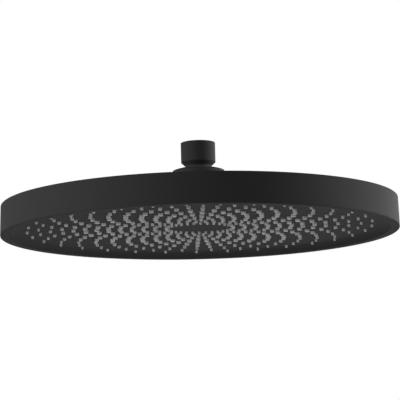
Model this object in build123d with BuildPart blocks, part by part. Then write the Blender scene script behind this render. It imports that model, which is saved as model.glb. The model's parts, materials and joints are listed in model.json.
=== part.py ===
"""Round rain shower head on a ball joint, in millimetres.

The origin is on the axis at the inner end of the inlet thread, where the pipe's end lands.
+Z runs up the pipe, and the spray face looks down.
"""

import os
from math import atan, cos, degrees, radians, sin, sqrt

from build123d import *

# Inlet collar, with a half-inch pipe thread opened to its major diameter
thread_radius = 20.955 / 2
thread_length = 12.1
thread_lead_in = 0.9
collar_wall = 2.57
collar_length = 15.2
collar_edge = 0.4
shoulder_height = 2.7
neck_radius = 10.0
neck_length = 3.1
passage_radius = 5.5

# Small pieces inside the inlet
washer_inset = 1.2
washer_hole_radius = 6.0
washer_thickness = 2.0
screen_thickness = 0.4
screen_gap = 0.9
screen_pitch = 1.5
restrictor_radius = 7.4
restrictor_thickness = 2.6
restrictor_hole_radius = 1.1
restrictor_hole_spread = 4.2
restrictor_hole_count = 6
insert_clearance = 0.1

# Ball joint
ball_radius = 14.0
ball_flat_drop = 10.6
ball_clearance = 0.3
liner_thickness = 1.6
liner_low_angle = 4.0
liner_high_angle = 34.0

# Swivel nut
nut_wall = 2.7
nut_dome_radius = 60.0
nut_shoulder_fillet = 2.5
nut_throat_gap = 2.5
nut_mouth_flare = 1.1
nut_lip_height = 0.6
nut_cup_depth = 2.8
nut_thread_clearance = 0.1

# Spigot and seal, which hold the ball from below
spigot_wall = 2.3
spigot_top_gap = 0.6
socket_clearance = 1.2
seal_lip_angle = 38.0
seal_lip_below = 1.1
seal_lip_above = 2.2
seal_base_height = 3.0
seal_ledge_overhang = 0.6
spigot_flange_width = 6.5
spigot_gasket_thickness = 1.0

# Top housing
boss_drop = 12.0
land_margin = 0.5
crown_rise = 4.6
rim_radius = 150.0
rim_draft = 0.6
rim_height = 22.4
rim_top_fillet = 0.5
rim_bottom_fillet = 0.5
lip_width = 4.3
ledge_width = 2.2
housing_wall = 2.5
spigot_hole_clearance = 0.3

# Spray face, recessed in the rim: flat in the middle, then a shallow dish, then a cove
face_recess = 5.4
face_thickness = 3.0
face_edge_recess = 0.5
dish_width = 44.0
dish_drop = 0.75
cove_width = 13.4
skirt_height = 11.0
skirt_thickness = 2.2
seam_gap = 0.3

# Water chamber behind the face
chamber_depth = 5.0
chamber_wall = 2.5
flange_width = 10.1
flange_clearance = 0.6
chamber_gasket_inset = 1.8
chamber_gasket_width = 2.4
chamber_gasket_thickness = 1.2
screw_count = 8
screw_inset = 2.8
screw_radius = 1.5
screw_head_radius = 2.6
screw_head_height = 1.8
screw_tip_floor = 0.4
screw_clearance = 0.05

# Nozzles, which grow over the inner rings, keep their full size and shrink again to the outer rings
nozzle_rings = 13
nozzles_per_ring = 32
first_ring_radius = 25.5
last_ring_inset = 2.5
first_full_ring = 5
last_full_ring = 7
outer_small_ring = 11
nozzle_small_radius = 1.08
nozzle_full_radius = 1.88
nozzle_draw_in = 0.15
nozzle_length = 1.9
nozzle_sides = 6


def side(radius, height):
    """The other side of a right triangle, such as a sphere's radius at a height."""
    return sqrt(radius**2 - height**2)


# Radii, from the inlet outwards
collar_radius = thread_radius + collar_wall
washer_radius = thread_radius - washer_inset
washer_recess_radius = washer_radius + insert_clearance
restrictor_pocket_radius = restrictor_radius + insert_clearance
liner_inner_radius = ball_radius + ball_clearance
liner_outer_radius = liner_inner_radius + liner_thickness
nut_cup_radius = liner_outer_radius + ball_clearance
nut_throat_radius = neck_radius + nut_throat_gap
nut_mouth_radius = nut_throat_radius + nut_mouth_flare
socket_radius = ball_radius + socket_clearance
spigot_radius = socket_radius + spigot_wall
nut_bore_radius = spigot_radius + nut_thread_clearance
nut_radius = nut_bore_radius + nut_wall
spigot_hole_radius = spigot_radius + spigot_hole_clearance
spigot_flange_radius = spigot_radius + spigot_flange_width
land_radius = spigot_flange_radius + land_margin

# Radii, from the rim inwards
rim_top_radius = rim_radius - rim_draft
lip_radius = rim_radius - lip_width
ledge_radius = lip_radius - ledge_width
face_radius = lip_radius - seam_gap
cove_start_radius = face_radius - cove_width
dish_start_radius = cove_start_radius - dish_width
dish_curve_radius = (dish_width**2 + dish_drop**2) / (2 * dish_drop)
skirt_inner_radius = face_radius - skirt_thickness
flange_radius = skirt_inner_radius - flange_clearance
screw_circle_radius = flange_radius - screw_inset
chamber_radius = flange_radius - flange_width
chamber_gasket_radius = chamber_radius + chamber_gasket_inset
chamber_gasket_outer_radius = chamber_gasket_radius + chamber_gasket_width
pan_radius = chamber_radius - chamber_depth
last_ring_radius = chamber_radius - last_ring_inset
ring_pitch = (last_ring_radius - first_ring_radius) / (nozzle_rings - 1)
ring_step_angle = 360 / nozzles_per_ring

# Heights, from the inlet down to the ball and the nut around it
collar_top = thread_length + thread_lead_in
collar_bottom = collar_top - collar_length
neck_top = collar_bottom - shoulder_height
washer_seat = -(washer_thickness + screen_thickness)
restrictor_seat = washer_seat - restrictor_thickness
neck_bottom = neck_top - neck_length
ball_height = neck_bottom - side(ball_radius, neck_radius)
ball_flat = ball_height - ball_flat_drop
nut_throat = ball_height + side(nut_cup_radius, nut_throat_radius)
nut_mouth = nut_throat + nut_lip_height
nut_step = ball_height - nut_cup_depth
spigot_top = nut_step - spigot_top_gap

# Heights, from the ball down to the rim's lip and up again to the chamber
boss_top = ball_height - boss_drop
land_underside = boss_top - housing_wall
spigot_shoulder = land_underside - spigot_gasket_thickness
rim_top = boss_top - crown_rise
rim_bottom = rim_top - rim_height
face_front = rim_bottom + face_recess
face_back = face_front + face_thickness
face_edge = rim_bottom + face_edge_recess
skirt_top = face_edge + skirt_height
chamber_roof = face_back + chamber_depth
chamber_top = chamber_roof + chamber_wall
flange_top = face_back + chamber_wall
groove_roof = face_back + chamber_gasket_thickness
screw_tip = face_front + screw_tip_floor


def around_ball(radius, angle):
    """A point of the section at a distance from the ball's centre, by its angle above the equator."""
    return Vector(radius * cos(radians(angle)), ball_height + radius * sin(radians(angle)))


def face_height(radius):
    """Height of the spray face's front at a distance from the axis, as far as the cove."""
    reach = max(0, radius - dish_start_radius)
    return face_front - dish_curve_radius + side(dish_curve_radius, reach)


def nut_dome(radius):
    """Height of the nut's domed top at a distance from the axis."""
    return nut_mouth + side(nut_dome_radius, radius) - side(nut_dome_radius, nut_mouth_radius)


os.makedirs("parts", exist_ok=True)

# Inlet connector: collar, neck and ball, turned in one piece
with BuildPart() as inlet_connector:
    with BuildSketch(Plane.XZ) as connector_section:
        with BuildLine():
            ball_start = (side(ball_radius, ball_flat_drop), ball_flat)
            ball_end = (neck_radius, neck_bottom)
            ThreePointArc(ball_start, (ball_radius, ball_height), ball_end)
            Polyline(
                ball_end,
                (neck_radius, neck_top),
                (collar_radius, collar_bottom),
                (collar_radius, collar_top),
                (thread_radius + thread_lead_in, collar_top),
                (thread_radius, thread_length),
                (thread_radius, 0),
                (washer_recess_radius, 0),
                (washer_recess_radius, washer_seat),
                (restrictor_pocket_radius, washer_seat),
                (restrictor_pocket_radius, restrictor_seat),
                (passage_radius, restrictor_seat),
                (passage_radius, ball_flat),
                ball_start,
            )
        make_face()
        collar_corner = (collar_radius, collar_top)
        fillet(connector_section.vertices().sort_by_distance(collar_corner)[0], collar_edge)
    revolve(axis=Axis.Z)
inlet_connector.part.label = "inlet_connector"
export_step(inlet_connector.part, "parts/inlet_connector.step")

# Inlet washer, on top of the screen
with BuildPart() as inlet_washer:
    with BuildSketch(Plane.XY.offset(-washer_thickness)):
        Circle(washer_radius)
        Circle(washer_hole_radius, mode=Mode.SUBTRACT)
    extrude(amount=washer_thickness)
inlet_washer.part.label = "inlet_washer"
export_step(inlet_washer.part, "parts/inlet_washer.step")

# Filter screen: a thin disc with square gaps where the washer leaves it open
with BuildPart() as filter_screen:
    with BuildSketch(Plane.XY.offset(washer_seat)):
        Circle(washer_radius)
        screen_rows = 2 * int(washer_hole_radius / screen_pitch) + 1
        screen_grid = GridLocations(screen_pitch, screen_pitch, screen_rows, screen_rows)
        screen_reach = washer_hole_radius - screen_gap
        open_places = [place for place in screen_grid.locations if place.position.length < screen_reach]
        with Locations(*open_places):
            Rectangle(screen_gap, screen_gap, mode=Mode.SUBTRACT)
    extrude(amount=screen_thickness)
filter_screen.part.label = "filter_screen"
export_step(filter_screen.part, "parts/filter_screen.step")

# Flow restrictor, a drilled disc under the screen
with BuildPart() as flow_restrictor:
    with BuildSketch(Plane.XY.offset(restrictor_seat)):
        Circle(restrictor_radius)
        Circle(restrictor_hole_radius, mode=Mode.SUBTRACT)
        with PolarLocations(restrictor_hole_spread, restrictor_hole_count):
            Circle(restrictor_hole_radius, mode=Mode.SUBTRACT)
    extrude(amount=restrictor_thickness)
flow_restrictor.part.label = "flow_restrictor"
export_step(flow_restrictor.part, "parts/flow_restrictor.step")

# Ball seat: a spherical liner between the ball and the nut
with BuildPart() as ball_seat:
    with BuildSketch(Plane.XZ):
        with BuildLine():
            liner_mid_angle = (liner_low_angle + liner_high_angle) / 2
            liner_angles = (liner_low_angle, liner_mid_angle, liner_high_angle)
            liner_inside = ThreePointArc(*[around_ball(liner_inner_radius, angle) for angle in liner_angles])
            liner_outside = ThreePointArc(*[around_ball(liner_outer_radius, angle) for angle in liner_angles])
            Line(liner_inside @ 0, liner_outside @ 0)
            Line(liner_inside @ 1, liner_outside @ 1)
        make_face()
    revolve(axis=Axis.Z)
ball_seat.part.label = "ball_seat"
export_step(ball_seat.part, "parts/ball_seat.step")

# Swivel nut: domed top, a mouth that lets the neck tilt, a cup for the liner and a bore for the spigot
with BuildPart() as swivel_nut:
    with BuildSketch(Plane.XZ) as nut_section:
        with BuildLine():
            throat_edge = (nut_throat_radius, nut_throat)
            mouth_edge = (nut_mouth_radius, nut_mouth)
            shoulder_corner = (nut_radius, nut_dome(nut_radius))
            cup_bottom = (nut_cup_radius, ball_height)
            Line(throat_edge, mouth_edge)
            RadiusArc(mouth_edge, shoulder_corner, nut_dome_radius)
            Polyline(
                shoulder_corner,
                (nut_radius, boss_top),
                (nut_bore_radius, boss_top),
                (nut_bore_radius, nut_step),
                (nut_cup_radius, nut_step),
                cup_bottom,
            )
            RadiusArc(cup_bottom, throat_edge, -nut_cup_radius)
        make_face()
        fillet(nut_section.vertices().sort_by_distance(shoulder_corner)[0], nut_shoulder_fillet)
    revolve(axis=Axis.Z)
swivel_nut.part.label = "swivel_nut"
export_step(swivel_nut.part, "parts/swivel_nut.step")

# Ball seal: a ring in the spigot whose lip runs along the ball's underside
lip_touch = around_ball(liner_inner_radius, -seal_lip_angle)
lip_direction = Vector(sin(radians(seal_lip_angle)), cos(radians(seal_lip_angle)))
lip_low = lip_touch - lip_direction * seal_lip_below
lip_high = lip_touch + lip_direction * seal_lip_above
seal_seat = lip_low.Y - seal_base_height
seal_radius = socket_radius - insert_clearance
water_bore_radius = lip_low.X - seal_ledge_overhang
with BuildPart() as ball_seal:
    with BuildSketch(Plane.XZ):
        with BuildLine():
            Polyline(
                (lip_low.X, seal_seat),
                (seal_radius, seal_seat),
                (seal_radius, lip_high.Y),
                lip_high,
                lip_low,
                close=True,
            )
        make_face()
    revolve(axis=Axis.Z)
ball_seal.part.label = "ball_seal"
export_step(ball_seal.part, "parts/ball_seal.step")

# Top housing: a crowned shell with a drafted rim, a lip and a ledge that the face's skirt meets
with BuildPart() as top_housing:
    with BuildSketch(Plane.XZ) as housing_section:
        with BuildLine():
            crown_slope = crown_rise / (rim_top_radius - land_radius)
            ledge_roof = rim_top - housing_wall + crown_slope * (rim_top_radius - ledge_radius)
            Polyline(
                (spigot_hole_radius, boss_top),
                (land_radius, boss_top),
                (rim_top_radius, rim_top),
                (rim_radius, rim_bottom),
                (lip_radius, rim_bottom),
                (lip_radius, skirt_top),
                (ledge_radius, skirt_top),
                (ledge_radius, ledge_roof),
                (land_radius, land_underside),
                (spigot_hole_radius, land_underside),
                close=True,
            )
        make_face()
        top_corner = (rim_top_radius, rim_top)
        bottom_corner = (rim_radius, rim_bottom)
        for corner, rounding in ((top_corner, rim_top_fillet), (bottom_corner, rim_bottom_fillet)):
            fillet(housing_section.vertices().sort_by_distance(corner)[0], rounding)
    revolve(axis=Axis.Z)
top_housing.part.label = "top_housing"
export_step(top_housing.part, "parts/top_housing.step")

# Spigot gasket, between the housing's land and the spigot's flange
with BuildPart() as spigot_gasket:
    with BuildSketch(Plane.XY.offset(spigot_shoulder)):
        Circle(spigot_flange_radius)
        Circle(spigot_hole_radius, mode=Mode.SUBTRACT)
    extrude(amount=spigot_gasket_thickness)
spigot_gasket.part.label = "spigot_gasket"
export_step(spigot_gasket.part, "parts/spigot_gasket.step")

# Chamber plate: spigot with the ball's socket, and a shallow pan that closes the water chamber
with BuildPart() as chamber_plate:
    with BuildSketch(Plane.XZ):
        with BuildLine():
            groove_outer_radius = chamber_gasket_outer_radius + insert_clearance
            groove_inner_radius = chamber_gasket_radius - insert_clearance
            Polyline(
                (water_bore_radius, chamber_roof),
                (water_bore_radius, seal_seat),
                (socket_radius, seal_seat),
                (socket_radius, spigot_top),
                (spigot_radius, spigot_top),
                (spigot_radius, spigot_shoulder),
                (spigot_flange_radius, spigot_shoulder),
                (spigot_flange_radius, chamber_top),
                (pan_radius, chamber_top),
                (chamber_radius, flange_top),
                (flange_radius, flange_top),
                (flange_radius, face_back),
                (groove_outer_radius, face_back),
                (groove_outer_radius, groove_roof),
                (groove_inner_radius, groove_roof),
                (groove_inner_radius, face_back),
                (chamber_radius, face_back),
                (pan_radius, chamber_roof),
                close=True,
            )
        make_face()
    revolve(axis=Axis.Z)
    with BuildSketch(Plane.XY.offset(face_back)):
        with PolarLocations(screw_circle_radius, screw_count):
            Circle(screw_radius + screw_clearance)
    extrude(amount=chamber_wall, mode=Mode.SUBTRACT)
chamber_plate.part.label = "chamber_plate"
export_step(chamber_plate.part, "parts/chamber_plate.step")

# Chamber gasket, in the groove of the chamber plate's flange
with BuildPart() as chamber_gasket:
    with BuildSketch(Plane.XY.offset(face_back)):
        Circle(chamber_gasket_outer_radius)
        Circle(chamber_gasket_radius, mode=Mode.SUBTRACT)
    extrude(amount=chamber_gasket_thickness)
chamber_gasket.part.label = "chamber_gasket"
export_step(chamber_gasket.part, "parts/chamber_gasket.step")

# Chamber screws, from the flange into the back of the face
with BuildPart() as chamber_screws:
    with BuildSketch(Plane.XY.offset(screw_tip)):
        with PolarLocations(screw_circle_radius, screw_count):
            Circle(screw_radius)
    extrude(amount=flange_top - screw_tip)
    with BuildSketch(Plane.XY.offset(flange_top)):
        with PolarLocations(screw_circle_radius, screw_count):
            Circle(screw_head_radius)
    extrude(amount=screw_head_height)
chamber_screws.part.label = "chamber_screws"
export_step(chamber_screws.part, "parts/chamber_screws.step")

# Spray face: a dished plate with a coved border down to the lip and a skirt up inside the rim
with BuildPart() as spray_face:
    with BuildSketch(Plane.XZ):
        with BuildLine():
            dish_start = (dish_start_radius, face_front)
            cove_start = (cove_start_radius, face_front - dish_drop)
            cove_end = (face_radius, face_edge)
            dish = TangentArc(dish_start, cove_start, tangent=(1, 0))
            TangentArc(cove_start, cove_end, tangent=dish % 1)
            Polyline(
                cove_end,
                (face_radius, skirt_top),
                (skirt_inner_radius, skirt_top),
                (skirt_inner_radius, face_back),
                (0, face_back),
                (0, face_front),
                dish_start,
            )
        make_face()
    revolve(axis=Axis.Z)
    with BuildSketch(Plane.XY.offset(screw_tip)):
        with PolarLocations(screw_circle_radius, screw_count):
            Circle(screw_radius + screw_clearance)
    extrude(amount=face_back - screw_tip, mode=Mode.SUBTRACT)
spray_face.part.label = "spray_face"
export_step(spray_face.part, "parts/spray_face.step")

# Spray nozzles: tapered soft tips drawn with six flats, each ring turned half a step from the last
nozzle_taper = degrees(atan(nozzle_draw_in / nozzle_length))
with BuildPart() as spray_nozzles:
    for ring in range(nozzle_rings):
        ring_radius = first_ring_radius + ring * ring_pitch
        ring_turn = ring_step_angle / 2 * (ring % 2)
        growth = ring / first_full_ring
        shrinkage = (outer_small_ring - ring) / (outer_small_ring - last_full_ring)
        size_share = max(0, min(growth, 1, shrinkage))
        nozzle_radius = nozzle_small_radius + (nozzle_full_radius - nozzle_small_radius) * size_share
        with BuildSketch(Plane.XY.offset(face_height(ring_radius + nozzle_radius))):
            with PolarLocations(ring_radius, nozzles_per_ring, ring_turn):
                RegularPolygon(nozzle_radius, nozzle_sides)
        extrude(amount=-nozzle_length, taper=nozzle_taper)
spray_nozzles.part.label = "spray_nozzles"
export_step(spray_nozzles.part, "parts/spray_nozzles.step")
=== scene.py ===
# %% [markdown]
# A round rain shower head hangs from its pipe by a ball joint. This lesson dresses its CAD frame:
# the turned pieces get smooth surfaces, the spray face gets soft nozzles with water holes, the inlet
# gets its pipe thread, and every piece gets a finish. The frame is loaded first, because each piece
# sits where its CAD solid is and moves with the same body. Blender works in metres and the sizes
# below are in millimetres, so one factor turns the one into the other.

# %% Load the frame
import json
import math

import bpy
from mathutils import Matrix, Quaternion, Vector

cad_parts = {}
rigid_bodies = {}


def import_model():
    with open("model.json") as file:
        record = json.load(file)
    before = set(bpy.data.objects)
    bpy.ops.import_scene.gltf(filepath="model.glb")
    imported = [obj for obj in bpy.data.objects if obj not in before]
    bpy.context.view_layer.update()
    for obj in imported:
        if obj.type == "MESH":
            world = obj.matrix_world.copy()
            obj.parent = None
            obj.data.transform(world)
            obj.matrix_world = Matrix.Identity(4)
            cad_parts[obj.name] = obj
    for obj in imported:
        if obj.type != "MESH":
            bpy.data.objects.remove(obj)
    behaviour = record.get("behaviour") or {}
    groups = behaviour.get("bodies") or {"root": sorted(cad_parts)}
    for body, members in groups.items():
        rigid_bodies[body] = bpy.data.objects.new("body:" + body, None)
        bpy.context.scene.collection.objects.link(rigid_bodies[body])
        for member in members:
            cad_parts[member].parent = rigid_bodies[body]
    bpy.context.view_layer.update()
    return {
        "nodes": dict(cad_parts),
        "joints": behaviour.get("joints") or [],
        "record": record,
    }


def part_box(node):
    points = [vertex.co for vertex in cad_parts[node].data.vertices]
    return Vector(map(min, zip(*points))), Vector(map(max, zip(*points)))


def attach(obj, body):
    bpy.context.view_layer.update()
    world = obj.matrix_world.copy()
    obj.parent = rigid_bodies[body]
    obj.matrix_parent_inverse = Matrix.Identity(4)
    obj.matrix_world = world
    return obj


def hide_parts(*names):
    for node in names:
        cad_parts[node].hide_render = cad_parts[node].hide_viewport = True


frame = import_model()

MM = 0.001
print("CAD nodes:", sorted(frame["nodes"]))

# %% [markdown]
# The heights come from the frame, so that the looks follow the solids if those change. The rim's
# lower edge, the recessed face and the top of the housing are read from the boxes of their nodes.

# %% Heights that the pieces share
rim_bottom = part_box("top_housing")[0].z / MM
boss_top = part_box("top_housing")[1].z / MM
skirt_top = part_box("spray_face")[1].z / MM
face_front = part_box("spray_nozzles")[1].z / MM
collar_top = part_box("inlet_connector")[1].z / MM
ball_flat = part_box("inlet_connector")[0].z / MM
nut_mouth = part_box("swivel_nut")[1].z / MM
ball_centre = frame["joints"][0]["pos_m"][2] / MM
print("rim bottom", round(rim_bottom, 2), "face", round(face_front, 2), "ball", round(ball_centre, 2))

# %% [markdown]
# The camera stands a little below the head and looks up at the spray face, with a long lens, as a
# product photographer would set it. It is aimed at a point above the rim's lower plane and rolled by
# a degree or so, because the head hangs a little off level in the picture.

# %% Camera
CAMERA_DISTANCE = 1.5
CAMERA_AZIMUTH = math.radians(-91.41)
CAMERA_DROP = math.radians(8.0396)
CAMERA_ROLL = math.radians(1.4076)
LENS_LENGTH = 179.2
SENSOR_WIDTH = 36.0
AIM_ABOVE_RIM = 25.966 * MM
AIM_TO_THE_RIGHT = 0.581 * MM
rim_centre = Vector((0, 0, rim_bottom * MM))
towards_camera = Vector((
    math.cos(CAMERA_DROP) * math.cos(CAMERA_AZIMUTH),
    math.cos(CAMERA_DROP) * math.sin(CAMERA_AZIMUTH),
    -math.sin(CAMERA_DROP),
))
camera_right = Vector((-math.sin(CAMERA_AZIMUTH), math.cos(CAMERA_AZIMUTH), 0))
eye = rim_centre + CAMERA_DISTANCE * towards_camera
aim = rim_centre + Vector((0, 0, AIM_ABOVE_RIM)) + AIM_TO_THE_RIGHT * camera_right

bpy.ops.object.select_all(action="DESELECT")
bpy.ops.object.camera_add(location=eye)
camera = bpy.context.object
camera.name = "photo_camera"
camera.data.lens = LENS_LENGTH
camera.data.sensor_width = SENSOR_WIDTH
camera.rotation_mode = "QUATERNION"
camera.rotation_quaternion = (
    (aim - eye).to_track_quat("-Z", "Y") @ Quaternion((0, 0, 1), -CAMERA_ROLL)
)
bpy.context.scene.camera = camera
print("camera at", [round(value, 3) for value in eye])

# %% [markdown]
# Most of this head is turned on a lathe. A turned piece could be drawn as a profile and spun, which
# leaves a seam of doubled points to merge. Here a circle of edges is walked along the profile
# instead: each step extrudes the ring to the next height and scales it to the next radius, so the
# wall closes on itself with no seam. A closed profile ends by bridging its last ring to its first.

# %% Tools for turned pieces
TURNED_SIDES = 128
BEVEL_SEGMENTS = 4
RING_TOLERANCE = 0.02
SHARP_ANGLE = 35
STRAIGHT_UP = 90


def start_ring(name, radius, height, sides):
    """Adds a circle of edges on the axis and leaves it selected in edit mode."""
    bpy.ops.object.select_all(action="DESELECT")
    bpy.ops.mesh.primitive_circle_add(vertices=sides, radius=radius * MM, location=(0, 0, height * MM))
    piece = bpy.context.object
    piece.name = piece.data.name = name
    bpy.ops.object.transform_apply(location=True, rotation=True, scale=True)
    bpy.ops.object.mode_set(mode="EDIT")
    bpy.ops.mesh.select_mode(type="EDGE")
    bpy.ops.mesh.select_all(action="SELECT")
    return piece


def walk_ring(outline):
    """Extrudes the selected ring from point to point of an outline of radii and heights."""
    for (radius, height), (next_radius, next_height) in zip(outline, outline[1:]):
        rise = (0, 0, (next_height - height) * MM)
        bpy.ops.mesh.extrude_region_move(TRANSFORM_OT_translate={"value": rise})
        spread = next_radius / radius
        bpy.ops.transform.resize(value=(spread, spread, 1), center_override=(0, 0, next_height * MM))


def turned_piece(name, outline, sides=TURNED_SIDES, closed=True):
    """Turns an outline about the axis. A closed one is bridged, an open one gets a face at each end."""
    piece = start_ring(name, *outline[0], sides)
    walk_ring(outline)
    bpy.ops.mesh.select_all(action="DESELECT")
    bpy.ops.mesh.select_non_manifold()
    if closed:
        bpy.ops.mesh.bridge_edge_loops()
    else:
        bpy.ops.mesh.edge_face_add()
    bpy.ops.mesh.select_all(action="SELECT")
    bpy.ops.mesh.normals_make_consistent(inside=False)
    bpy.ops.object.mode_set(mode="OBJECT")
    return piece


def round_ring(piece, radius, height, width, segments=BEVEL_SEGMENTS):
    """Bevels the ring of edges at a radius and a height."""
    bpy.ops.object.select_all(action="DESELECT")
    bpy.context.view_layer.objects.active = piece
    piece.select_set(True)
    bpy.ops.object.mode_set(mode="EDIT")
    bpy.ops.mesh.select_mode(type="EDGE")
    bpy.ops.mesh.select_all(action="DESELECT")
    bpy.ops.object.mode_set(mode="OBJECT")
    points = piece.data.vertices
    for edge in piece.data.edges:
        ends = [points[index].co for index in edge.vertices]
        edge.select = all(
            abs(end.xy.length / MM - radius) < RING_TOLERANCE
            and abs(end.z / MM - height) < RING_TOLERANCE
            for end in ends
        )
    bpy.ops.object.mode_set(mode="EDIT")
    bpy.ops.mesh.bevel(offset=width * MM, segments=segments, affect="EDGES")
    bpy.ops.object.mode_set(mode="OBJECT")


def smooth(piece, angle=SHARP_ANGLE):
    """Shades a piece smooth, and leaves its sharp edges sharp."""
    bpy.ops.object.select_all(action="DESELECT")
    bpy.context.view_layer.objects.active = piece
    piece.select_set(True)
    bpy.ops.object.shade_smooth_by_angle(angle=math.radians(angle))


def arc(centre, radius, start, end, steps):
    """Points of a circle in the section, by angles in degrees from outwards towards up."""
    angles = [math.radians(start + (end - start) * step / steps) for step in range(steps + 1)]
    return [(centre[0] + radius * math.cos(a), centre[1] + radius * math.sin(a)) for a in angles]


def side(radius, height):
    """The other side of a right triangle."""
    return math.sqrt(radius**2 - height**2)


# %% [markdown]
# The housing is the drum that everyone sees: a low crowned top and a drafted rim with crisp edges.
# It is open below, where a flat lip turns in and carries the face plate. The lip could be a ring of its
# own, but then a joint would show on the rim's lower edge. Extra rings close to each corner hold the
# wide surfaces flat, so that smooth shading bends the light only on the small bevels.

# %% Housing
RIM_SIDES = 256
RIM_RADIUS = 150.0
RIM_TOP_RADIUS = 149.4
RIM_HEIGHT = 22.4
RIM_ROUNDING = 0.5
RIM_INNER_RADIUS = 145.7
LIP_RADIUS = 142.5
LIP_THICKNESS = 1.6
LIP_ROUNDING = 0.3
LEDGE_RADIUS = 143.5
LAND_RADIUS = 24.5
SPIGOT_HOLE_RADIUS = 17.8
HOUSING_WALL = 2.5
CORNER_HOLD = 2.0
SMALL_EDGE_SEGMENTS = 3
rim_top = rim_bottom + RIM_HEIGHT
lip_seat = rim_bottom + LIP_THICKNESS
crown_slope = (boss_top - rim_top) / (RIM_TOP_RADIUS - LAND_RADIUS)
draft = (RIM_RADIUS - RIM_TOP_RADIUS) / RIM_HEIGHT


def crown(radius):
    """Height of the housing's top at a radius."""
    return boss_top - crown_slope * (radius - LAND_RADIUS)


housing_outline = [
    (SPIGOT_HOLE_RADIUS, boss_top),
    (LAND_RADIUS, boss_top),
    (LAND_RADIUS + CORNER_HOLD, crown(LAND_RADIUS + CORNER_HOLD)),
    (RIM_TOP_RADIUS - CORNER_HOLD, crown(RIM_TOP_RADIUS - CORNER_HOLD)),
    (RIM_TOP_RADIUS, rim_top),
    (RIM_TOP_RADIUS + CORNER_HOLD * draft, rim_top - CORNER_HOLD),
    (RIM_RADIUS - CORNER_HOLD * draft, rim_bottom + CORNER_HOLD),
    (RIM_RADIUS, rim_bottom),
    (LIP_RADIUS, rim_bottom),
    (LIP_RADIUS, lip_seat),
    (RIM_INNER_RADIUS, lip_seat),
    (RIM_INNER_RADIUS, skirt_top),
    (LEDGE_RADIUS, skirt_top),
    (LEDGE_RADIUS, crown(LEDGE_RADIUS) - HOUSING_WALL),
    (LAND_RADIUS, boss_top - HOUSING_WALL),
    (SPIGOT_HOLE_RADIUS, boss_top - HOUSING_WALL),
]
drum_shell = turned_piece("drum_shell", housing_outline, RIM_SIDES)
round_ring(drum_shell, RIM_TOP_RADIUS, rim_top, RIM_ROUNDING)
round_ring(drum_shell, RIM_RADIUS, rim_bottom, RIM_ROUNDING)
round_ring(drum_shell, LIP_RADIUS, rim_bottom, LIP_ROUNDING, SMALL_EDGE_SEGMENTS)
smooth(drum_shell)
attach(drum_shell, "head")
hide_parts("top_housing")
print("drum shell:", len(drum_shell.data.polygons), "faces")

# %% [markdown]
# The face plate closes the drum from below. It is flat in the middle, bends down in a shallow dish
# under the outer nozzles and sweeps to the rim's lip in a cove, with a fine seam between the two. A
# subdivided surface would bend softly too, but it would drift from the solid's outline. So both bends
# are arcs, each tangent to what comes before it, and a skirt stands up inside the rim.

# %% Face plate
FACE_RADIUS = 142.35
FACE_EDGE_RECESS = 0.1
COVE_START_RADIUS = 131.2
DISH_START_RADIUS = 88.0
DISH_DROP = 0.723
SEAT_GAP = 0.3
SKIRT_RADIUS = 145.4
SKIRT_INNER_RADIUS = 143.2
FACE_THICKNESS = 3.0
CENTRE_RING = 3.0
DISH_STEPS = 8
COVE_STEPS = 12
dish_reach = COVE_START_RADIUS - DISH_START_RADIUS
dish_radius = (dish_reach**2 + DISH_DROP**2) / (2 * DISH_DROP)
dish_turn = math.degrees(math.asin(dish_reach / dish_radius))


def face_height(radius):
    """Height of the face at a radius, as far as the cove."""
    return face_front - dish_radius + side(dish_radius, max(0, radius - DISH_START_RADIUS))


dish_centre = (DISH_START_RADIUS, face_front - dish_radius)
dish_end = STRAIGHT_UP - dish_turn
dish = arc(dish_centre, dish_radius, STRAIGHT_UP, dish_end, DISH_STEPS)
cove_run = FACE_RADIUS - COVE_START_RADIUS
cove_fall = dish[-1][1] - (rim_bottom + FACE_EDGE_RECESS)
start_turn = math.radians(dish_turn)
along = cove_run * math.cos(start_turn) + cove_fall * math.sin(start_turn)
across = cove_fall * math.cos(start_turn) - cove_run * math.sin(start_turn)
cove_radius = (along**2 + across**2) / (2 * across)
cove_turn = math.degrees(math.asin(along / cove_radius))
cove_centre = (
    COVE_START_RADIUS - cove_radius * math.sin(start_turn),
    dish[-1][1] - cove_radius * math.cos(start_turn),
)
cove = arc(cove_centre, cove_radius, dish_end, dish_end - cove_turn, COVE_STEPS)
face_outline = [
    (CENTRE_RING, face_front),
    *dish,
    *cove[1:],
    (FACE_RADIUS, lip_seat + SEAT_GAP),
    (SKIRT_RADIUS, lip_seat + SEAT_GAP),
    (SKIRT_RADIUS, skirt_top),
    (SKIRT_INNER_RADIUS, skirt_top),
    (SKIRT_INNER_RADIUS, face_front + FACE_THICKNESS),
    (CENTRE_RING, face_front + FACE_THICKNESS),
]
face_plate = turned_piece("face_plate", face_outline, RIM_SIDES, closed=False)
smooth(face_plate)
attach(face_plate, "head")
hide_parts("spray_face")
print("face plate:", len(face_plate.data.polygons), "faces, cove radius", round(cove_radius, 2))

# %% [markdown]
# The domed nut keeps the ball in its socket. Its top is a shallow dome with a soft shoulder, its mouth
# leaves the neck room to tilt, and its cup inside is part of a sphere. The shoulder could be one more
# arc of the outline. It is a bevel on the ring where the dome meets the side, because a bevel finds
# both tangents by itself.

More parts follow.
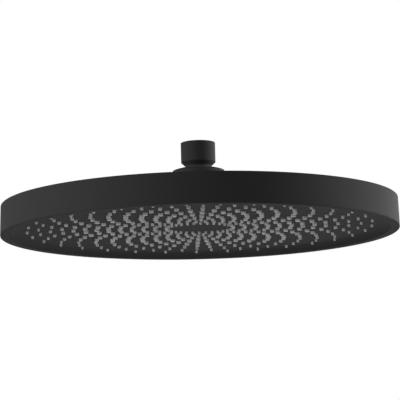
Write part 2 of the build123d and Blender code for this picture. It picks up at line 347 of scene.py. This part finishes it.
# %% Domed nut
NUT_RADIUS = 20.3
NUT_BORE_RADIUS = 17.6
NUT_CUP_RADIUS = 16.2
NUT_THROAT_RADIUS = 12.5
NUT_MOUTH_RADIUS = 13.6
NUT_DOME_RADIUS = 60.0
NUT_CUP_DEPTH = 2.8
NUT_SHOULDER = 2.5
NUT_EDGE = 0.25
SMALL_HOLD = 1.0
DOME_STEPS = 8
CUP_STEPS = 10
SHOULDER_SEGMENTS = 8
dome_centre = nut_mouth - side(NUT_DOME_RADIUS, NUT_MOUTH_RADIUS)
nut_corner = dome_centre + side(NUT_DOME_RADIUS, NUT_RADIUS)
cup_turn = math.degrees(math.acos(NUT_THROAT_RADIUS / NUT_CUP_RADIUS))
dome_width = NUT_RADIUS - NUT_MOUTH_RADIUS
dome_radii = [NUT_MOUTH_RADIUS + dome_width * step / DOME_STEPS for step in range(DOME_STEPS + 1)]
nut_outline = [
    *[(radius, dome_centre + side(NUT_DOME_RADIUS, radius)) for radius in dome_radii],
    (NUT_RADIUS, boss_top + SMALL_HOLD),
    (NUT_RADIUS, boss_top),
    (NUT_BORE_RADIUS, boss_top),
    (NUT_BORE_RADIUS, ball_centre - NUT_CUP_DEPTH),
    (NUT_CUP_RADIUS, ball_centre - NUT_CUP_DEPTH),
    *arc((0, ball_centre), NUT_CUP_RADIUS, 0, cup_turn, CUP_STEPS),
]
domed_nut = turned_piece("domed_nut", nut_outline)
round_ring(domed_nut, NUT_RADIUS, nut_corner, NUT_SHOULDER, SHOULDER_SEGMENTS)
round_ring(domed_nut, NUT_MOUTH_RADIUS, nut_mouth, NUT_EDGE, SMALL_EDGE_SEGMENTS)
round_ring(domed_nut, NUT_RADIUS, boss_top, NUT_EDGE, SMALL_EDGE_SEGMENTS)
smooth(domed_nut)
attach(domed_nut, "head")
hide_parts("swivel_nut")
print("domed nut:", len(domed_nut.data.polygons), "faces")

# %% [markdown]
# The inlet body is one brass turning: the collar that the pipe screws into, a shoulder, a short neck
# and the ball below it. Its bore steps down to seats for the washer, the screen and the restrictor.
# Cylinders and a sphere could be joined by a boolean, but one closed outline leaves no cut edges.

# %% Inlet body
THREAD_DIAMETER = 20.955
THREAD_RADIUS = THREAD_DIAMETER / 2
THREAD_LENGTH = 12.1
THREAD_LEAD_IN = 0.9
COLLAR_WALL = 2.57
COLLAR_RADIUS = THREAD_RADIUS + COLLAR_WALL
COLLAR_LENGTH = 15.2
COLLAR_EDGE = 0.4
COLLAR_LOWER_EDGE = 0.3
SHOULDER_HEIGHT = 2.7
NECK_RADIUS = 10.0
BALL_RADIUS = 14.0
BALL_STEPS = 20
PASSAGE_RADIUS = 5.5
WASHER_LEDGE = 1.1
WASHER_RECESS_RADIUS = THREAD_RADIUS - WASHER_LEDGE
WASHER_SEAT = -2.4
RESTRICTOR_POCKET_RADIUS = 7.5
RESTRICTOR_SEAT = -5.0
collar_bottom = collar_top - COLLAR_LENGTH
neck_top = collar_bottom - SHOULDER_HEIGHT
ball_start = -math.degrees(math.acos(side(BALL_RADIUS, ball_centre - ball_flat) / BALL_RADIUS))
ball_end = math.degrees(math.acos(NECK_RADIUS / BALL_RADIUS))
inlet_outline = [
    *arc((0, ball_centre), BALL_RADIUS, ball_start, ball_end, BALL_STEPS),
    (NECK_RADIUS, neck_top - SMALL_HOLD),
    (NECK_RADIUS, neck_top),
    (COLLAR_RADIUS, collar_bottom),
    (COLLAR_RADIUS, collar_bottom + SMALL_HOLD),
    (COLLAR_RADIUS, collar_top - SMALL_HOLD),
    (COLLAR_RADIUS, collar_top),
    (THREAD_RADIUS + THREAD_LEAD_IN, collar_top),
    (THREAD_RADIUS, THREAD_LENGTH),
    (THREAD_RADIUS, 0),
    (WASHER_RECESS_RADIUS, 0),
    (WASHER_RECESS_RADIUS, WASHER_SEAT),
    (RESTRICTOR_POCKET_RADIUS, WASHER_SEAT),
    (RESTRICTOR_POCKET_RADIUS, RESTRICTOR_SEAT),
    (PASSAGE_RADIUS, RESTRICTOR_SEAT),
    (PASSAGE_RADIUS, ball_flat),
]
inlet_body = turned_piece("inlet_body", inlet_outline)
round_ring(inlet_body, COLLAR_RADIUS, collar_top, COLLAR_EDGE)
round_ring(inlet_body, COLLAR_RADIUS, collar_bottom, COLLAR_LOWER_EDGE, SMALL_EDGE_SEGMENTS)
smooth(inlet_body)
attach(inlet_body, "connector")
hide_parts("inlet_connector")
print("inlet body:", len(inlet_body.data.polygons), "faces")

# %% [markdown]
# Inside the collar is the half-inch pipe thread, a right-handed ridge on the wall of the bore. Its
# section could be typed in point by point. Here it starts as a plane stood on edge, so that each number
# is a size of the thread: its inner side is drawn together to make the flanks, and its two inner
# corners are bevelled for the rounded crest.

# %% Section of the thread
THREAD_PITCH = 1.814
THREAD_DEPTH = 1.162
THREAD_ROOT = 1.5
THREAD_CREST = 0.3
CREST_BEVEL = 0.08
CREST_SEGMENTS = 2
THREAD_START = 0.85
WALL_OVERLAP = 0.08
section_depth = THREAD_DEPTH + WALL_OVERLAP
section_middle = THREAD_RADIUS + WALL_OVERLAP - section_depth / 2

bpy.ops.object.select_all(action="DESELECT")
bpy.ops.mesh.primitive_plane_add(
    size=MM, location=(section_middle * MM, 0, THREAD_START * MM), rotation=(math.pi / 2, 0, 0)
)
pipe_thread = bpy.context.object
pipe_thread.name = pipe_thread.data.name = "pipe_thread"
bpy.ops.transform.resize(value=(section_depth, 1, THREAD_ROOT))
bpy.ops.object.transform_apply(location=True, rotation=True, scale=True)
for point in pipe_thread.data.vertices:
    point.select = point.co.x < section_middle * MM
bpy.ops.object.mode_set(mode="EDIT")
bpy.ops.mesh.select_mode(type="VERT")
bpy.ops.transform.resize(
    value=(1, 1, THREAD_CREST / THREAD_ROOT),
    center_override=(section_middle * MM, 0, THREAD_START * MM),
)
bpy.ops.mesh.bevel(offset=CREST_BEVEL * MM, segments=CREST_SEGMENTS, affect="VERTICES")
bpy.ops.mesh.select_all(action="SELECT")
bpy.ops.mesh.delete(type="ONLY_FACE")
bpy.ops.object.mode_set(mode="OBJECT")
section_points = len(pipe_thread.data.vertices)
print("thread section:", section_points, "points")

# %% [markdown]
# A screw modifier sweeps the section up a helix, which an array of rings couldn't do, because a ring
# has no lead. A cut thread runs out into the wall, so the first and last steps of the sweep shrink
# towards it, and a face closes each end.

# %% Turns of the thread
THREAD_TURNS = 5.75
STEPS_PER_TURN = 48
TAPER_STEPS = 12
TAPER_END = 0.1
turns = pipe_thread.modifiers.new("turns", "SCREW")
turns.axis = "Z"
turns.angle = 2 * math.pi * THREAD_TURNS
turns.screw_offset = THREAD_PITCH * THREAD_TURNS * MM
turns.steps = turns.render_steps = int(STEPS_PER_TURN * THREAD_TURNS)
turns.use_merge_vertices = False
bpy.ops.object.modifier_apply(modifier="turns")

last_step = len(pipe_thread.data.vertices) // section_points - 1
for count in range(TAPER_STEPS):
    for step in (count, last_step - count):
        for point in pipe_thread.data.vertices:
            point.select = point.index // section_points == step
        turn = 2 * math.pi * step / STEPS_PER_TURN
        rise = THREAD_START + THREAD_PITCH * step / STEPS_PER_TURN
        on_wall = Vector((THREAD_RADIUS * math.cos(turn), THREAD_RADIUS * math.sin(turn), rise)) * MM
        share = TAPER_END + (1 - TAPER_END) * count / TAPER_STEPS
        bpy.ops.object.mode_set(mode="EDIT")
        bpy.ops.transform.resize(value=(share, share, share), center_override=on_wall)
        bpy.ops.object.mode_set(mode="OBJECT")
bpy.ops.object.mode_set(mode="EDIT")
bpy.ops.mesh.select_all(action="DESELECT")
bpy.ops.mesh.select_non_manifold()
bpy.ops.mesh.edge_face_add()
bpy.ops.mesh.select_all(action="SELECT")
bpy.ops.mesh.normals_make_consistent(inside=False)
bpy.ops.object.mode_set(mode="OBJECT")
smooth(pipe_thread)
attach(pipe_thread, "connector")
print("pipe thread:", len(pipe_thread.data.polygons), "faces in", THREAD_TURNS, "turns")

# %% [markdown]
# A woven steel screen under the washer keeps grit out of the nozzles. Each wire goes over and under the
# wires that cross it. A picture of a mesh would look flat up close, so the wires are real: one is
# extruded along its zigzag and an array copies it to every second row. The rows between start on the
# other side.

# %% Wires of the screen
WIRE_RADIUS = 0.09
WIRE_PITCH = 0.8
WIRE_ROWS = 17
WIRE_SIDES = 6
WEAVE = 0.1
screen_low, screen_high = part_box("filter_screen")
screen_middle = (screen_low.z + screen_high.z) / 2 / MM
wire_reach = WIRE_PITCH * (WIRE_ROWS - 1) / 2


def woven_wires(name, first_row, count, start):
    """Extrudes one wire over and under, and copies it to every second row."""
    bpy.ops.object.select_all(action="DESELECT")
    place = (-wire_reach * MM, first_row * MM, (screen_middle + start * WEAVE) * MM)
    bpy.ops.mesh.primitive_circle_add(
        vertices=WIRE_SIDES, radius=WIRE_RADIUS * MM, location=place, rotation=(0, math.pi / 2, 0)
    )
    wire = bpy.context.object
    wire.name = wire.data.name = name
    bpy.ops.object.transform_apply(location=True, rotation=True, scale=True)
    bpy.ops.object.mode_set(mode="EDIT")
    bpy.ops.mesh.select_all(action="SELECT")
    for crossing in range(WIRE_ROWS - 1):
        drop = start * WEAVE * (-1) ** (crossing + 1)
        for _ in range(2):
            bpy.ops.mesh.extrude_region_move(
                TRANSFORM_OT_translate={"value": (WIRE_PITCH / 2 * MM, 0, drop * MM)}
            )
    bpy.ops.mesh.select_all(action="DESELECT")
    bpy.ops.mesh.select_non_manifold()
    bpy.ops.mesh.edge_face_add()
    bpy.ops.object.mode_set(mode="OBJECT")
    rows = wire.modifiers.new("rows", "ARRAY")
    rows.count = count
    rows.use_relative_offset = False
    rows.use_constant_offset = True
    rows.constant_offset_displace = (0, 2 * WIRE_PITCH * MM, 0)
    bpy.ops.object.modifier_apply(modifier="rows")
    return wire


even_wires = woven_wires("even_wires", -wire_reach, WIRE_ROWS // 2 + 1, 1)
odd_wires = woven_wires("odd_wires", WIRE_PITCH - wire_reach, WIRE_ROWS // 2, -1)
print("wires:", len(even_wires.data.polygons), "and", len(odd_wires.data.polygons), "faces")

# %% [markdown]
# The crossing wires could be extruded in the same way, but a weave looks alike from both sides. So they
# are a copy of the first layer, turned a quarter and mirrored. A flat ring holds their ends.

# %% Crossing layer and ring of the screen
SCREEN_INSET = 1.2
SCREEN_RADIUS = THREAD_RADIUS - SCREEN_INSET
SCREEN_RIM = 6.1
SCREEN_HALF = 0.2
SCREEN_SIDES = 96
WIRE_SHARP_ANGLE = 61
bpy.ops.object.select_all(action="DESELECT")
even_wires.select_set(True)
odd_wires.select_set(True)
bpy.context.view_layer.objects.active = even_wires
bpy.ops.object.join()
woven_screen = bpy.context.object
woven_screen.name = woven_screen.data.name = "woven_screen"
bpy.ops.object.mode_set(mode="EDIT")
bpy.ops.mesh.select_all(action="SELECT")
bpy.ops.mesh.duplicate()
weave_centre = (0, 0, screen_middle * MM)
bpy.ops.transform.rotate(value=math.pi / 2, orient_axis="Z", center_override=weave_centre)
bpy.ops.transform.resize(value=(1, 1, -1), center_override=weave_centre)
bpy.ops.object.mode_set(mode="OBJECT")
screen_ring = turned_piece("screen_ring", [
    (SCREEN_RIM, screen_middle - SCREEN_HALF),
    (SCREEN_RADIUS, screen_middle - SCREEN_HALF),
    (SCREEN_RADIUS, screen_middle + SCREEN_HALF),
    (SCREEN_RIM, screen_middle + SCREEN_HALF),
], SCREEN_SIDES)
screen_ring.select_set(True)
woven_screen.select_set(True)
bpy.context.view_layer.objects.active = woven_screen
bpy.ops.object.join()
bpy.ops.object.mode_set(mode="EDIT")
bpy.ops.mesh.select_all(action="SELECT")
bpy.ops.mesh.normals_make_consistent(inside=False)
bpy.ops.object.mode_set(mode="OBJECT")
smooth(woven_screen, WIRE_SHARP_ANGLE)
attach(woven_screen, "connector")
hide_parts("filter_screen")
print("woven screen:", len(woven_screen.data.polygons), "faces")

# %% [markdown]
# The nozzles are soft silicone tips that can be rubbed clean. They grow from ring to ring, keep their
# full size in the middle rings and shrink again towards the rim. A list of radii would do, but a formula
# of straight stretches says the same with fewer numbers. The outline goes down a taper, over a rounded
# end and up into the water hole. There are 416 nozzles, so each has only a few dozen faces.

# %% Sizes of the nozzles
NOZZLE_SIDES = 10
NOZZLE_RINGS = 13
NOZZLES_PER_RING = 32
FIRST_RING_RADIUS = 25.5
LAST_RING_RADIUS = 130.0
FIRST_FULL_RING = 5
LAST_FULL_RING = 7
OUTER_SMALL_RING = 11
SMALL_RADIUS = 1.08
FULL_RADIUS = 1.88
NOZZLE_DRAW_IN = 0.15
NOZZLE_LENGTH = 1.9
TIP_ROUNDING = 0.25
WATER_HOLE_SHARE = 0.35
WATER_HOLE_DEPTH = 1.0
ring_pitch = (LAST_RING_RADIUS - FIRST_RING_RADIUS) / (NOZZLE_RINGS - 1)
ring_step = 2 * math.pi / NOZZLES_PER_RING


def nozzle_radius(ring):
    """Radius of a nozzle's base in a ring, counted from the middle."""
    growth = ring / FIRST_FULL_RING
    shrinkage = (OUTER_SMALL_RING - ring) / (OUTER_SMALL_RING - LAST_FULL_RING)
    return SMALL_RADIUS + (FULL_RADIUS - SMALL_RADIUS) * max(0, min(growth, 1, shrinkage))


def nozzle_outline(ring):
    """Outline of one nozzle, from its base on the face to the bottom of its water hole."""
    base = nozzle_radius(ring)
    root = face_height(FIRST_RING_RADIUS + ring * ring_pitch - base)
    end = face_height(FIRST_RING_RADIUS + ring * ring_pitch + base) - NOZZLE_LENGTH
    tip = base - NOZZLE_DRAW_IN
    hole = tip * WATER_HOLE_SHARE
    return [
        (base, root),
        (tip, end + TIP_ROUNDING),
        (tip - TIP_ROUNDING, end),
        (hole, end),
        (hole, end + WATER_HOLE_DEPTH),
    ]


print("nozzle radii:", [round(nozzle_radius(ring), 2) for ring in range(NOZZLE_RINGS)])

# %% [markdown]
# One nozzle of each size is modelled by walking a ring of ten sides along its outline. An array with an
# empty to turn it could repeat it. The spin tool, set to duplicate, needs no helper object: it copies
# the nozzle round the axis in one step. Every second ring is turned by half a step.

# %% Rings of nozzles
pattern = []
for ring in range(NOZZLE_RINGS):
    outline = nozzle_outline(ring)
    row = start_ring(f"nozzle_ring_{ring + 1}", *outline[0], NOZZLE_SIDES)
    walk_ring(outline)
    bpy.ops.mesh.edge_face_add()
    bpy.ops.mesh.select_all(action="SELECT")
    bpy.ops.mesh.normals_make_consistent(inside=False)
    ring_radius = (FIRST_RING_RADIUS + ring * ring_pitch) * MM
    ring_turn = ring_step / 2 * (ring % 2)
    bpy.ops.transform.translate(
        value=(ring_radius * math.cos(ring_turn), ring_radius * math.sin(ring_turn), 0)
    )
    bpy.ops.mesh.spin(
        steps=NOZZLES_PER_RING - 1,
        dupli=True,
        angle=2 * math.pi - ring_step,
        center=(0, 0, 0),
        axis=(0, 0, 1),
    )
    bpy.ops.object.mode_set(mode="OBJECT")
    pattern.append(row)
    print("ring", ring + 1, "at", round(ring_radius / MM, 1), "mm:", len(row.data.polygons), "faces")

# %% [markdown]
# Such nozzles are often moulded as one silicone mat. The rings could stay apart, but one object is
# easier to shade and to move: it rides on the head and takes the place of the solid tips.

# %% Join the rings
NOZZLE_SHARP_ANGLE = 50
bpy.ops.object.select_all(action="DESELECT")
for row in pattern:
    row.select_set(True)
bpy.context.view_layer.objects.active = pattern[0]
bpy.ops.object.join()
soft_nozzles = bpy.context.object
soft_nozzles.name = soft_nozzles.data.name = "soft_nozzles"
smooth(soft_nozzles, NOZZLE_SHARP_ANGLE)
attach(soft_nozzles, "head")
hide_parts("spray_nozzles")
print("soft nozzles:", len(soft_nozzles.data.polygons), "faces")

# %% [markdown]
# The finishes share one effect: a fine grain that shifts the colour and the roughness a little and
# raises a slight bump. Its nodes could be repeated in each material. As a node group they are built
# once, and each finish gives the group its own values. A Mix node keeps a set of sockets for each kind
# of data under the same names, so its sockets are picked by number.

# %% Fine grain
GRAIN_DETAIL = 3.0
GRAIN_SHARE = 0.5
CLOUD_SCALE = 35.0
CLOUD_SHARE = 0.5
MIX_FLOAT_A, MIX_FLOAT_B, MIX_FLOAT_RESULT = 2, 3, 0
MIX_COLOUR_A, MIX_COLOUR_B, MIX_COLOUR_RESULT = 6, 7, 2
fine_grain = bpy.data.node_groups.new("fine_grain", "ShaderNodeTree")
for socket_name, socket_type, default in (
    ("Grain Scale", "NodeSocketFloat", 2500.0),
    ("Dark", "NodeSocketColor", (0.02, 0.02, 0.02, 1)),
    ("Light", "NodeSocketColor", (0.03, 0.03, 0.03, 1)),
    ("Roughness Low", "NodeSocketFloat", 0.55),
    ("Roughness High", "NodeSocketFloat", 0.7),
):
    socket = fine_grain.interface.new_socket(socket_name, in_out="INPUT", socket_type=socket_type)
    socket.default_value = default
for socket_name, socket_type in (
    ("Colour", "NodeSocketColor"),
    ("Roughness", "NodeSocketFloat"),
    ("Height", "NodeSocketFloat"),
):
    fine_grain.interface.new_socket(socket_name, in_out="OUTPUT", socket_type=socket_type)

nodes, links = fine_grain.nodes, fine_grain.links
given = nodes.new("NodeGroupInput")
result = nodes.new("NodeGroupOutput")
place = nodes.new("ShaderNodeTexCoord")
grain = nodes.new("ShaderNodeTexNoise")
grain.inputs["Detail"].default_value = GRAIN_DETAIL
cloud = nodes.new("ShaderNodeTexNoise")
cloud.inputs["Scale"].default_value = CLOUD_SCALE
blend = nodes.new("ShaderNodeMath")
blend.operation = "MULTIPLY_ADD"
blend.inputs[1].default_value = GRAIN_SHARE
cloud_part = nodes.new("ShaderNodeMath")
cloud_part.operation = "MULTIPLY"
cloud_part.inputs[1].default_value = CLOUD_SHARE
tint = nodes.new("ShaderNodeMix")
tint.data_type = "RGBA"
rough = nodes.new("ShaderNodeMix")
rough.data_type = "FLOAT"
links.new(place.outputs["Object"], grain.inputs["Vector"])
links.new(place.outputs["Object"], cloud.inputs["Vector"])
links.new(given.outputs["Grain Scale"], grain.inputs["Scale"])
links.new(cloud.outputs["Fac"], cloud_part.inputs[0])
links.new(grain.outputs["Fac"], blend.inputs[0])
links.new(cloud_part.outputs[0], blend.inputs[2])
links.new(blend.outputs[0], tint.inputs["Factor"])
links.new(given.outputs["Dark"], tint.inputs[MIX_COLOUR_A])
links.new(given.outputs["Light"], tint.inputs[MIX_COLOUR_B])
links.new(blend.outputs[0], rough.inputs["Factor"])
links.new(given.outputs["Roughness Low"], rough.inputs[MIX_FLOAT_A])
links.new(given.outputs["Roughness High"], rough.inputs[MIX_FLOAT_B])
links.new(tint.outputs[MIX_COLOUR_RESULT], result.inputs["Colour"])
links.new(rough.outputs[MIX_FLOAT_RESULT], result.inputs["Roughness"])
links.new(grain.outputs["Fac"], result.inputs["Height"])
print("fine grain:", len(nodes), "nodes")

# %% [markdown]
# The shell and the turned brass carry a matte black powder coat, the nozzles are light grey silicone,
# the seals are black rubber, the ball's liner is black bearing plastic, the restrictor is uncoloured
# plastic, and the screen and the screws are stainless steel. A powder coat is black but scatters light,
# so it is very rough and has little gloss. A lower roughness would draw bright edges that such a coat
# doesn't have. One helper wires the grain to a Principled shader, and the CAD parts inside get their
# finishes by their slot's name.

# %% Finishes
GRAIN_HEIGHT = 0.05


def finish_material(name, dark, light, roughness, grain_scale, bump, specular=0.5, metallic=0.0):
    """Makes a material whose colour, roughness and bump come from the fine grain."""
    material = bpy.data.materials.new(name)
    material.use_nodes = True
    tree = material.node_tree
    shader = tree.nodes["Principled BSDF"]
    shader.inputs["Specular IOR Level"].default_value = specular
    shader.inputs["Metallic"].default_value = metallic
    group = tree.nodes.new("ShaderNodeGroup")
    group.node_tree = fine_grain
    group.inputs["Grain Scale"].default_value = grain_scale
    group.inputs["Dark"].default_value = (*dark, 1)
    group.inputs["Light"].default_value = (*light, 1)
    group.inputs["Roughness Low"].default_value = roughness[0]
    group.inputs["Roughness High"].default_value = roughness[1]
    relief = tree.nodes.new("ShaderNodeBump")
    relief.inputs["Strength"].default_value = bump
    relief.inputs["Distance"].default_value = GRAIN_HEIGHT * MM
    tree.links.new(group.outputs["Colour"], shader.inputs["Base Color"])
    tree.links.new(group.outputs["Roughness"], shader.inputs["Roughness"])
    tree.links.new(group.outputs["Height"], relief.inputs["Height"])
    tree.links.new(relief.outputs["Normal"], shader.inputs["Normal"])
    return material


matte_coat = finish_material(
    "matte_black_coat",
    dark=(0.032, 0.032, 0.033),
    light=(0.041, 0.041, 0.042),
    roughness=(0.86, 0.94),
    grain_scale=2500,
    bump=0.2,
    specular=0.03,
)
coated_brass = finish_material(
    "coated_brass",
    dark=(0.032, 0.032, 0.033),
    light=(0.041, 0.041, 0.042),
    roughness=(0.82, 0.92),
    grain_scale=2500,
    bump=0.2,
    specular=0.03,
)
silicone = finish_material(
    "grey_silicone_tip",
    dark=(0.64, 0.64, 0.64),
    light=(0.72, 0.72, 0.72),
    roughness=(0.5, 0.65),
    grain_scale=1800,
    bump=0.15,
    specular=0.1,
)
rubber = finish_material(
    "black_rubber_seal",
    dark=(0.02, 0.02, 0.02),
    light=(0.04, 0.04, 0.04),
    roughness=(0.7, 0.85),
    grain_scale=1800,
    bump=0.3,
    specular=0.3,
)
acetal = finish_material(
    "black_bearing_plastic",
    dark=(0.025, 0.025, 0.025),
    light=(0.035, 0.035, 0.035),
    roughness=(0.7, 0.8),
    grain_scale=1500,
    bump=0.1,
    specular=0.1,
)
plastic = finish_material(
    "natural_moulded_plastic",
    dark=(0.68, 0.67, 0.63),
    light=(0.78, 0.77, 0.73),
    roughness=(0.4, 0.55),
    grain_scale=1200,
    bump=0.1,
    specular=0.5,
)
steel = finish_material(
    "stainless_wire",
    dark=(0.5, 0.5, 0.5),
    light=(0.65, 0.65, 0.65),
    roughness=(0.25, 0.4),
    grain_scale=3000,
    bump=0.1,
    specular=0.5,
    metallic=1.0,
)
slot_materials = {
    "black_shell": matte_coat,
    "black_metal": coated_brass,
    "grey_silicone": silicone,
    "black_rubber": rubber,
    "black_acetal": acetal,
    "natural_plastic": plastic,
    "steel": steel,
}
for row in frame["record"]["subparts"]:
    node = frame["nodes"][row["node"]]
    node.data.materials.clear()
    node.data.materials.append(slot_materials[row["material_slot"]])
for piece in (drum_shell, face_plate):
    piece.data.materials.append(matte_coat)
for piece in (domed_nut, inlet_body, pipe_thread):
    piece.data.materials.append(coated_brass)
soft_nozzles.data.materials.append(silicone)
woven_screen.data.materials.append(steel)
print("finishes:", sorted(slot_materials))

# %% [markdown]
# The head hangs in a white studio, and a wide pale floor lies far below it. A floor close under the head
# would be more usual, but it would block the view of the spray face from underneath. The lamps are aimed
# at the head, so the floor would look dark from above. A little light of its own mends that, and only a
# ray from the camera, from a reflection or through glass meets it. The Light Path node tells such rays
# from the ones that light the head, and the floor still shows a shadow.

# %% Floor
FLOOR_SIZE = 60.0
FLOOR_HEIGHT = -2.0
FLOOR_GLOW = 0.75
FLOOR_COLOUR = (0.8, 0.8, 0.8, 1)
FLOOR_ROUGHNESS = 0.9
WHITE = (1, 1, 1, 1)


def seen_rays(tree):
    """Adds nodes that give 1 for camera, glossy and transmission rays, and 0 for the rest."""
    path = tree.nodes.new("ShaderNodeLightPath")
    direct = tree.nodes.new("ShaderNodeMath")
    direct.operation = "MAXIMUM"
    seen = tree.nodes.new("ShaderNodeMath")
    seen.operation = "MAXIMUM"
    tree.links.new(path.outputs["Is Camera Ray"], direct.inputs[0])
    tree.links.new(path.outputs["Is Glossy Ray"], direct.inputs[1])
    tree.links.new(direct.outputs[0], seen.inputs[0])
    tree.links.new(path.outputs["Is Transmission Ray"], seen.inputs[1])
    return seen.outputs[0]


bpy.ops.object.select_all(action="DESELECT")
bpy.ops.mesh.primitive_plane_add(size=FLOOR_SIZE, location=(0, 0, FLOOR_HEIGHT))
floor = bpy.context.object
floor.name = "studio_floor"
bpy.ops.object.transform_apply(location=True)
floor_paint = bpy.data.materials.new("pale_floor")
floor_paint.use_nodes = True
floor_tree = floor_paint.node_tree
floor_shader = floor_tree.nodes["Principled BSDF"]
floor_shader.inputs["Base Color"].default_value = FLOOR_COLOUR
floor_shader.inputs["Roughness"].default_value = FLOOR_ROUGHNESS
floor_shader.inputs["Emission Color"].default_value = WHITE
glow = floor_tree.nodes.new("ShaderNodeMath")
glow.operation = "MULTIPLY"
glow.inputs[1].default_value = FLOOR_GLOW
floor_tree.links.new(seen_rays(floor_tree), glow.inputs[0])
floor_tree.links.new(glow.outputs[0], floor_shader.inputs["Emission Strength"])
floor.data.materials.append(floor_paint)
print("floor at", FLOOR_HEIGHT, "m, with a glow of", FLOOR_GLOW)

# %% [markdown]
# The white background is the world itself, at a strength of 1 where the camera, a reflection or a view
# through glass meets it. Its light on the head is almost off, because light from all around would wash
# out the dark front of the drum. A Map Range turns the answer of the Light Path into a strength.

# %% World
WORLD_LIGHT = 0.02
WORLD_IN_VIEW = 1.0
world = bpy.data.worlds.new("white_studio")
bpy.context.scene.world = world
world.use_nodes = True
sky = world.node_tree.nodes["Background"]
sky.inputs["Color"].default_value = WHITE
level = world.node_tree.nodes.new("ShaderNodeMapRange")
level.inputs["To Min"].default_value = WORLD_LIGHT
level.inputs["To Max"].default_value = WORLD_IN_VIEW
world.node_tree.links.new(seen_rays(world.node_tree), level.inputs["Value"])
world.node_tree.links.new(level.outputs["Result"], sky.inputs["Strength"])
print("world strength:", WORLD_LIGHT, "on the head and", WORLD_IN_VIEW, "in view")

# %% [markdown]
# The drum is bright at its two sides and dark in front, as between soft boxes. Three lamps stand on the
# right, the last two of them a little behind, and a weaker pair stands on the left. Two low ones reach
# the spray face and both sides of its nozzles. One bright lamp in front would be simpler, but it would
# flatten the drum. Area lamps give soft edges, and none is in the camera's view.

# %% Lamps
LAMP_DISTANCE = 1.9
AIM_HEIGHT = -45.0
head_middle = Vector((0, 0, AIM_HEIGHT * MM))


def soft_lamp(name, azimuth, elevation, size, power):
    """Adds a square area lamp that looks at the middle of the head from a direction in degrees."""
    turn, lift = math.radians(azimuth), math.radians(elevation)
    direction = Vector((math.cos(lift) * math.cos(turn), math.cos(lift) * math.sin(turn), math.sin(lift)))
    bpy.ops.object.select_all(action="DESELECT")
    bpy.ops.object.light_add(type="AREA", location=head_middle + LAMP_DISTANCE * direction)
    lamp = bpy.context.object
    lamp.name = name
    lamp.data.size = size
    lamp.data.energy = power
    lamp.rotation_mode = "QUATERNION"
    lamp.rotation_quaternion = (-direction).to_track_quat("-Z", "Y")
    lamp.visible_camera = False
    print(name, "at", [round(value, 2) for value in lamp.location], "with", power, "W")


soft_lamp("right_lamp", azimuth=0, elevation=10, size=1.0, power=32.5)
soft_lamp("right_back_lamp", azimuth=20, elevation=15, size=0.8, power=41.7)
soft_lamp("back_lamp", azimuth=50, elevation=22, size=0.6, power=18.3)
soft_lamp("left_high_lamp", azimuth=190, elevation=22, size=0.6, power=17.2)
soft_lamp("left_front_lamp", azimuth=210, elevation=10, size=1.0, power=18.4)
soft_lamp("low_back_lamp", azimuth=60, elevation=-25, size=0.8, power=7.6)
soft_lamp("low_left_lamp", azimuth=180, elevation=-50, size=0.8, power=4.1)

# %% [markdown]
# The Standard view shows each colour as it is written, where a film-like view would grey the white.

# %% Colour
bpy.context.scene.view_settings.view_transform = "Standard"
